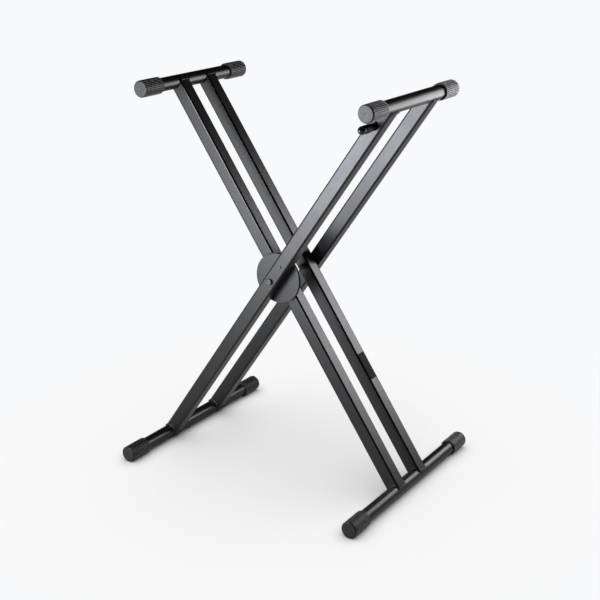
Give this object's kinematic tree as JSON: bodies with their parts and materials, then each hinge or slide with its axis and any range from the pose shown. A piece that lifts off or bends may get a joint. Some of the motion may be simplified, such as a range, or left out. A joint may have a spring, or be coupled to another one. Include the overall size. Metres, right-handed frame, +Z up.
{
  "type": "folding keyboard stand",
  "caption": "Folding double-braced X stand with ribbed rubber caps, a notched locking hinge and a squeeze release lever; it carries a keyboard on its top bars.",
  "frame": {"origin": "on the floor, straight under the pivot line and half way along the bars", "axes": "+Z up, +Y along the bars from the lever side to the back, +X from the outer frame's foot bar to its top bar"},
  "size_m": [0.6408, 0.508, 0.8826],
  "materials": {
    "black_paint": "satin black powder coat, very fine texture",
    "cap_rubber": "matt moulded rubber",
    "grip_rubber": "soft black rubber, slight sheen",
    "dark_hardware": "black finished steel",
    "plated_steel": "zinc plated steel",
    "washer_plastic": "black nylon",
    "label_film": "bare black printed film with no print"
  },
  "bodies": {
    "outer_frame": {"outer_arm_front": "black_paint", "outer_arm_rear": "black_paint", "outer_foot_bar": "black_paint", "outer_foot_cap_front": "cap_rubber", "outer_foot_cap_rear": "cap_rubber", "outer_top_bar": "black_paint", "outer_top_cap_front": "cap_rubber", "outer_top_cap_rear": "cap_rubber", "front_disc": "black_paint", "disc_washer": "washer_plastic", "front_pivot_bolt": "dark_hardware", "front_pivot_nut": "dark_hardware", "front_nut_washer": "dark_hardware", "front_arm_sleeve": "plated_steel", "rear_pivot_bolt": "dark_hardware", "rear_pivot_nut": "dark_hardware", "rear_nut_washer": "dark_hardware", "rear_arm_sleeve": "plated_steel", "rear_spacer": "dark_hardware", "spring_anchor": "plated_steel", "anchor_rivet": "dark_hardware", "return_spring": "plated_steel"},
    "inner_frame": {"inner_arm_front": "black_paint", "inner_arm_rear": "black_paint", "inner_foot_bar": "black_paint", "inner_foot_cap_front": "cap_rubber", "inner_foot_cap_rear": "cap_rubber", "inner_top_bar": "black_paint", "inner_top_cap_front": "cap_rubber", "inner_top_cap_rear": "cap_rubber", "rear_disc": "black_paint", "lock_plate": "plated_steel", "front_pivot_bush": "plated_steel", "rear_pivot_bush": "plated_steel", "label_plate": "label_film"},
    "release": {"lever_shank": "plated_steel", "lever_grip": "grip_rubber", "pull_strip": "plated_steel", "lock_pin": "plated_steel"}
  },
  "joints": [
    {"name": "fold", "type": "hinge", "parent": "outer_frame", "child": "inner_frame", "pos_m": [0, 0, 0.45776], "axis": [0, 1, 0], "range_deg": [-30, 64]},
    {"name": "lever", "type": "slide", "parent": "outer_frame", "child": "release", "axis": [0.5664, 0, 0.8241], "range_m": [0, 0.008], "stiffness_N_per_m": 600, "springref_m": -0.006, "deforming": ["return_spring"]}
  ]
}
